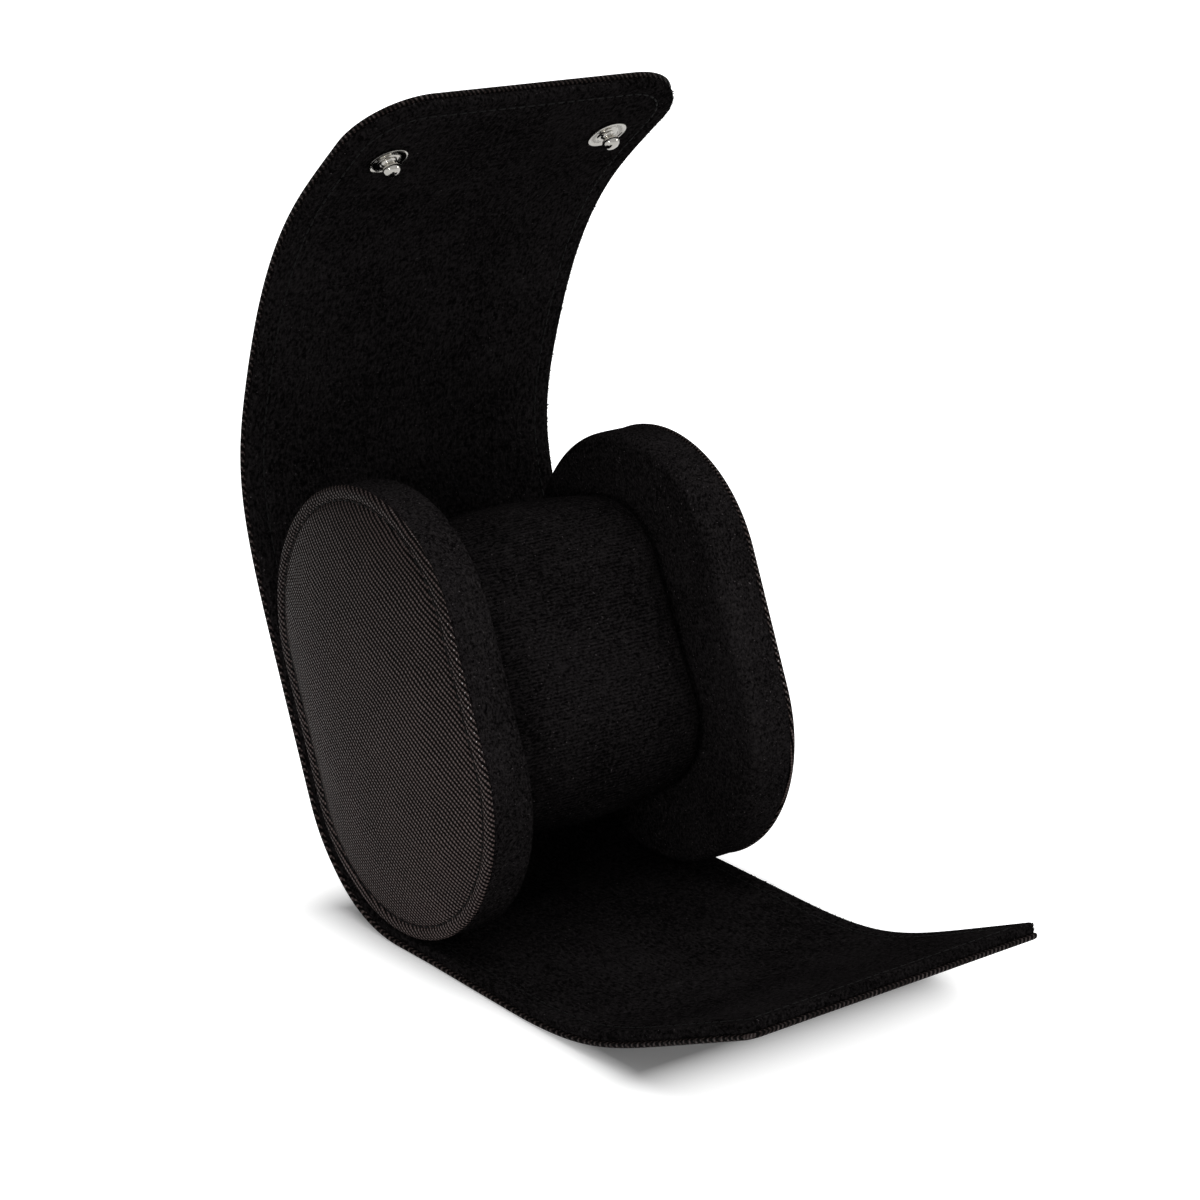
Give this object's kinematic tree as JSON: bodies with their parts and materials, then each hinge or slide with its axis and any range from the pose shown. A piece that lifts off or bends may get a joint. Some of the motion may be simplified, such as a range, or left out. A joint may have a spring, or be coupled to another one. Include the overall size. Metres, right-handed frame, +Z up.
{
  "type": "watch_roll",
  "caption": "Leather watch roll standing open, with padded end caps, a suede-covered cushion and a wrap that snaps shut",
  "frame": {"origin": "middle of the roll on the table, below the end caps", "axes": "X across the roll from the left cap to the right, -Y to the front flap, Z up"},
  "size_m": [0.084, 0.1632, 0.17],
  "materials": {
    "leather": "crosshatch grain, satin",
    "suede": "short nap, matt",
    "board": "pressed board, matt",
    "foam": "soft filling, matt",
    "nickel": "nickel plate, polished"
  },
  "bodies": {
    "case": {"back_leather": "leather", "back_board": "board", "back_lining": "suede", "left_cap_leather": "leather", "left_cap_pad": "foam", "left_cap_board": "board", "left_cap_lining": "suede", "left_cap_band": "suede", "right_cap_leather": "leather", "right_cap_pad": "foam", "right_cap_board": "board", "right_cap_lining": "suede", "right_cap_band": "suede"},
    "cushion": {"cushion_cover": "suede", "cushion_core": "foam", "cushion_end_left": "suede", "cushion_end_right": "suede"},
    "top_panel_1": {"top_leather_1": "leather", "top_board_1": "board", "top_lining_1": "suede"},
    "top_panel_2": {"top_leather_2": "leather", "top_board_2": "board", "top_lining_2": "suede"},
    "top_panel_3": {"top_leather_3": "leather", "top_board_3": "board", "top_lining_3": "suede"},
    "top_panel_4": {"top_leather_4": "leather", "top_board_4": "board", "top_lining_4": "suede"},
    "top_panel_5": {"top_leather_5": "leather", "top_board_5": "board", "top_lining_5": "suede"},
    "top_panel_6": {"top_leather_6": "leather", "top_board_6": "board", "top_lining_6": "suede", "stud_left": "nickel", "stud_right": "nickel", "stud_washer_left": "nickel", "stud_washer_right": "nickel"},
    "front_panel_1": {"front_leather_1": "leather", "front_board_1": "board", "front_lining_1": "suede"},
    "front_panel_2": {"front_leather_2": "leather", "front_board_2": "board", "front_lining_2": "suede"},
    "front_panel_3": {"front_leather_3": "leather", "front_board_3": "board", "front_lining_3": "suede"},
    "front_panel_4": {"front_leather_4": "leather", "front_board_4": "board", "front_lining_4": "suede", "socket_left": "nickel", "socket_right": "nickel", "socket_washer_left": "nickel", "socket_washer_right": "nickel"},
    "front_panel_5": {"front_leather_5": "leather", "front_board_5": "board", "front_lining_5": "suede"}
  },
  "joints": [
    {"name": "top_crease_1", "type": "hinge", "parent": "case", "child": "top_panel_1", "pos_m": [0, 0.03904, 0.05893], "axis": [1, 0, 0], "range_deg": [-8, 32.31]},
    {"name": "top_crease_2", "type": "hinge", "parent": "top_panel_1", "child": "top_panel_2", "pos_m": [0, 0.04546, 0.07733], "axis": [1, 0, 0], "range_deg": [-2.57, 10.24]},
    {"name": "top_crease_3", "type": "hinge", "parent": "top_panel_2", "child": "top_panel_3", "pos_m": [0, 0.04563, 0.09661], "axis": [1, 0, 0], "range_deg": [-6.24, 25.06]},
    {"name": "top_crease_4", "type": "hinge", "parent": "top_panel_3", "child": "top_panel_4", "pos_m": [0, 0.0401, 0.1153], "axis": [1, 0, 0], "range_deg": [-0.72, 2.77]},
    {"name": "top_crease_5", "type": "hinge", "parent": "top_panel_4", "child": "top_panel_5", "pos_m": [0, 0.03195, 0.13298], "axis": [1, 0, 0], "range_deg": [-7.46, 29.97]},
    {"name": "top_crease_6", "type": "hinge", "parent": "top_panel_5", "child": "top_panel_6", "pos_m": [0, 0.0194, 0.14779], "axis": [1, 0, 0], "range_deg": [-2.03, 8.06]},
    {"name": "front_crease_1", "type": "hinge", "parent": "case", "child": "front_panel_1", "pos_m": [0, -0.01567, 0.0032], "axis": [-1, 0, 0], "range_deg": [0, 32.46]},
    {"name": "front_crease_2", "type": "hinge", "parent": "front_panel_1", "child": "front_panel_2", "pos_m": [0, -0.03567, 0.0032], "axis": [-1, 0, 0], "range_deg": [-0.05, 38.95]},
    {"name": "front_crease_3", "type": "hinge", "parent": "front_panel_2", "child": "front_panel_3", "pos_m": [0, -0.05567, 0.0032], "axis": [-1, 0, 0], "range_deg": [-0.05, 22.02]},
    {"name": "front_crease_4", "type": "hinge", "parent": "front_panel_3", "child": "front_panel_4", "pos_m": [0, -0.07513, 0.00716], "axis": [-1, 0, 0], "range_deg": [-4.05, 0.05]},
    {"name": "front_crease_5", "type": "hinge", "parent": "front_panel_4", "child": "front_panel_5", "pos_m": [0, -0.09354, 0.01498], "axis": [-1, 0, 0], "range_deg": [-0.05, 6.95]},
    {"name": "cushion_slide", "type": "slide", "parent": "case", "child": "cushion", "axis": [0, -0.9205, 0.3907], "range_m": [0, 0.1]}
  ],
  "couplings": [
    {"joint": "top_crease_2", "follows": "top_crease_1", "ratio": 0.31538},
    {"joint": "top_crease_3", "follows": "top_crease_1", "ratio": 0.77406},
    {"joint": "top_crease_4", "follows": "top_crease_1", "ratio": 0.084184},
    {"joint": "top_crease_5", "follows": "top_crease_1", "ratio": 0.92603},
    {"joint": "top_crease_6", "follows": "top_crease_1", "ratio": 0.24791},
    {"joint": "front_crease_2", "follows": "front_crease_1", "ratio": 1.1984},
    {"joint": "front_crease_3", "follows": "front_crease_1", "ratio": 0.67683},
    {"joint": "front_crease_4", "follows": "front_crease_1", "ratio": -0.12323},
    {"joint": "front_crease_5", "follows": "front_crease_1", "ratio": 0.21257}
  ]
}
